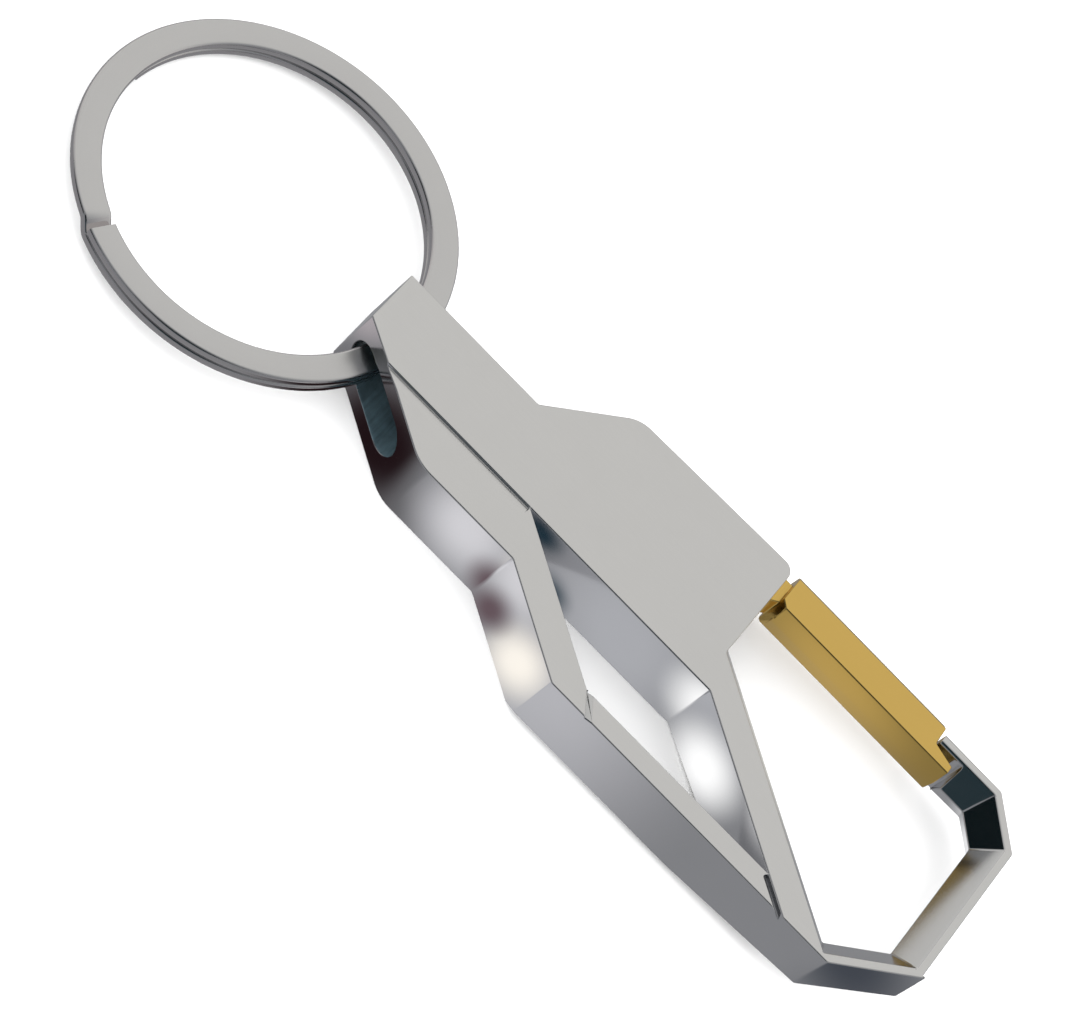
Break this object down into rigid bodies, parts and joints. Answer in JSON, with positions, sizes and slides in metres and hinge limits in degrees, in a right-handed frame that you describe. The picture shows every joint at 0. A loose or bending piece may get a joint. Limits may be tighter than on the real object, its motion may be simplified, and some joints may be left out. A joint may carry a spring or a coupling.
{
  "type": "carabiner key holder",
  "caption": "Pocket carabiner key holder: a cast body with a window and a bevelled hook, a sprung gate that opens inwards, and a split ring that swings in a slot.",
  "frame": {"origin": "on the body's flat back face, under the middle of the split ring's slot", "axes": "+X along the body from the split ring to the hook, +Y towards the gate's side, +Z out of the front face"},
  "size_m": [0.0951, 0.0332, 0.0067],
  "materials": {
    "satin_nickel": "satin brushed faces with polished side walls",
    "polished_gold": "polished gold plating",
    "pin_steel": "plain drawn steel",
    "spring_steel": "drawn spring wire",
    "ring_steel": "satin flats with polished edges"
  },
  "bodies": {
    "body": {"body_casting": "satin_nickel", "gate_pin": "pin_steel", "return_spring": "spring_steel"},
    "gate": {"gate": "polished_gold"},
    "plunger": {"spring_plunger": "pin_steel"},
    "ring": {"split_ring": "ring_steel"}
  },
  "joints": [
    {"name": "gate_swing", "type": "hinge", "parent": "body", "child": "gate", "pos_m": [0.03185, 0.009, 0.0044], "axis": [0, 0, 1], "range_deg": [-30, 0], "stiffness_Nm_per_rad": 0.003, "springref_deg": 68.75},
    {"name": "plunger_slide", "type": "slide", "parent": "body", "child": "plunger", "axis": [1, 0, 0], "range_m": [-0.00102, 0], "deforming": ["return_spring"]},
    {"name": "ring_swing", "type": "hinge", "parent": "body", "child": "ring", "pos_m": [-0.00242, 0, 0.00335], "axis": [0.1473, 0.9891, 0], "range_deg": [-100, 108]}
  ],
  "couplings": [
    {"joint": "plunger_slide", "follows": "gate_swing", "m_per_rad": 0.0019}
  ]
}
